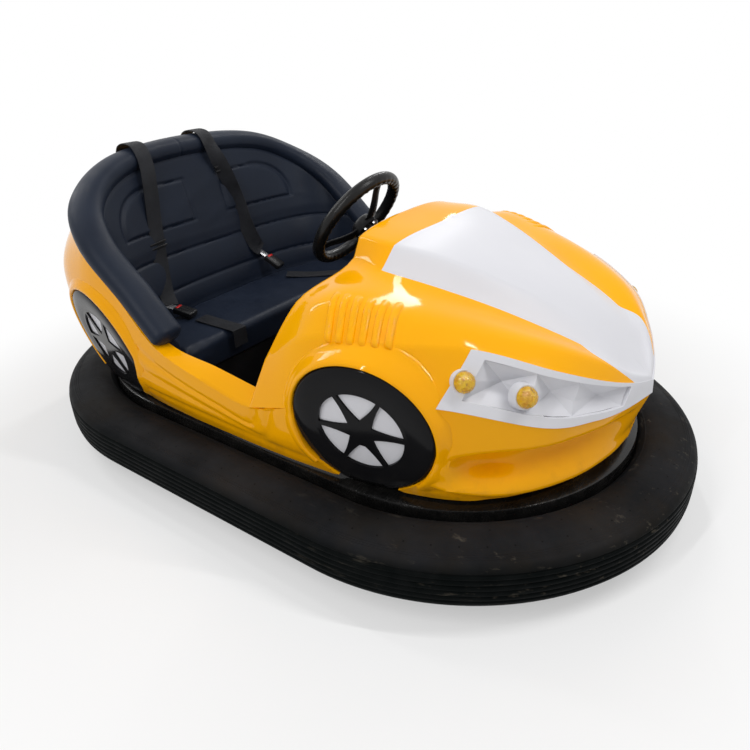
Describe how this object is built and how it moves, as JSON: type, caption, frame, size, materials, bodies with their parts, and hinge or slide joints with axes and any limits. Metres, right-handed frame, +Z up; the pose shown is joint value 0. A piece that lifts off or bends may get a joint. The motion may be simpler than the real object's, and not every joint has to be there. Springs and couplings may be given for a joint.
{
  "type": "bumper car",
  "caption": "Two-seat bumper car: fibreglass body in a rubber bumper ring, with bench seat, steering wheel, a steered drive wheel under the nose and rear wheels.",
  "frame": {"origin": "on the floor, below the middle of the bumper ring", "axes": "+X forward towards the nose, +Y to the car's left, +Z up"},
  "size_m": [1.95, 1.25, 0.829],
  "materials": {
    "yellow_gelcoat": "glossy orange-yellow gelcoat over fibreglass",
    "white_gelcoat": "glossy white gelcoat over fibreglass",
    "black_gelcoat": "glossy black gelcoat",
    "bumper_rubber": "black rubber, worn dull and dusty",
    "black_steel": "gloss black paint over steel",
    "amber_lens": "clear amber lens",
    "seat_vinyl": "blue-black vinyl with a soft sheen",
    "webbing": "black woven belt webbing",
    "black_plastic": "black plastic, satin",
    "floor_rubber": "black ribbed rubber mat",
    "bright_steel": "machined steel",
    "wheel_rubber": "solid black rubber",
    "battery_case": "dark grey battery case"
  },
  "bodies": {
    "car": {"accelerator_pedal": "bright_steel", "battery_pack": "battery_case", "buckle_left": "black_plastic", "buckle_right": "black_plastic", "bumper_rim": "black_steel", "bumper_tyre": "bumper_rubber", "chassis_plate": "black_steel", "dash_panel": "black_plastic", "drive_mount": "black_steel", "floor_mat": "floor_rubber", "footwell_bulkhead": "black_plastic", "front_body": "yellow_gelcoat", "headlight_pod_left": "white_gelcoat", "headlight_pod_right": "white_gelcoat", "hood_stripe_panel": "white_gelcoat", "lamp_inner_left": "amber_lens", "lamp_inner_right": "amber_lens", "lamp_outer_left": "amber_lens", "lamp_outer_right": "amber_lens", "lap_belt_left": "webbing", "lap_belt_right": "webbing", "rear_axle_left": "bright_steel", "rear_axle_right": "bright_steel", "rear_body": "yellow_gelcoat", "rear_bracket_left": "black_steel", "rear_bracket_right": "black_steel", "seat_back": "seat_vinyl", "seat_box": "black_plastic", "seat_cushion": "seat_vinyl", "seat_roll": "seat_vinyl", "shoulder_belt_left": "webbing", "shoulder_belt_right": "webbing", "steering_column": "black_steel", "tail_panel": "white_gelcoat", "wheel_disc_front_left": "black_gelcoat", "wheel_disc_front_right": "black_gelcoat", "wheel_disc_rear_left": "black_gelcoat", "wheel_disc_rear_right": "black_gelcoat"},
    "drive_unit": {"drive_fork": "black_steel"},
    "drive_wheel": {"drive_tyre": "wheel_rubber", "hub_motor": "bright_steel"},
    "steering": {"steering_wheel": "black_plastic", "steering_shaft": "bright_steel"},
    "rear_wheel_left": {"rear_wheel_left": "wheel_rubber"},
    "rear_wheel_right": {"rear_wheel_right": "wheel_rubber"}
  },
  "joints": [
    {"name": "drive_unit_yaw", "type": "hinge", "parent": "car", "child": "drive_unit", "pos_m": [0.5, 0, 0], "axis": [0, 0, 1], "range_deg": [-180, 180]},
    {"name": "drive_wheel_spin", "type": "hinge", "parent": "drive_unit", "child": "drive_wheel", "pos_m": [0.5, 0, 0.1], "axis": [0, 1, 0], "continuous": true},
    {"name": "steering_turn", "type": "hinge", "parent": "car", "child": "steering", "pos_m": [0.041, 0, 0.645], "axis": [-0.8192, 0, 0.5736], "range_deg": [-180, 180]},
    {"name": "rear_wheel_left_spin", "type": "hinge", "parent": "car", "child": "rear_wheel_left", "pos_m": [-0.5, 0.3, 0.06], "axis": [0, 1, 0], "continuous": true},
    {"name": "rear_wheel_right_spin", "type": "hinge", "parent": "car", "child": "rear_wheel_right", "pos_m": [-0.5, -0.3, 0.06], "axis": [0, 1, 0], "continuous": true}
  ],
  "couplings": [
    {"joint": "steering_turn", "follows": "drive_unit_yaw", "ratio": 1}
  ]
}
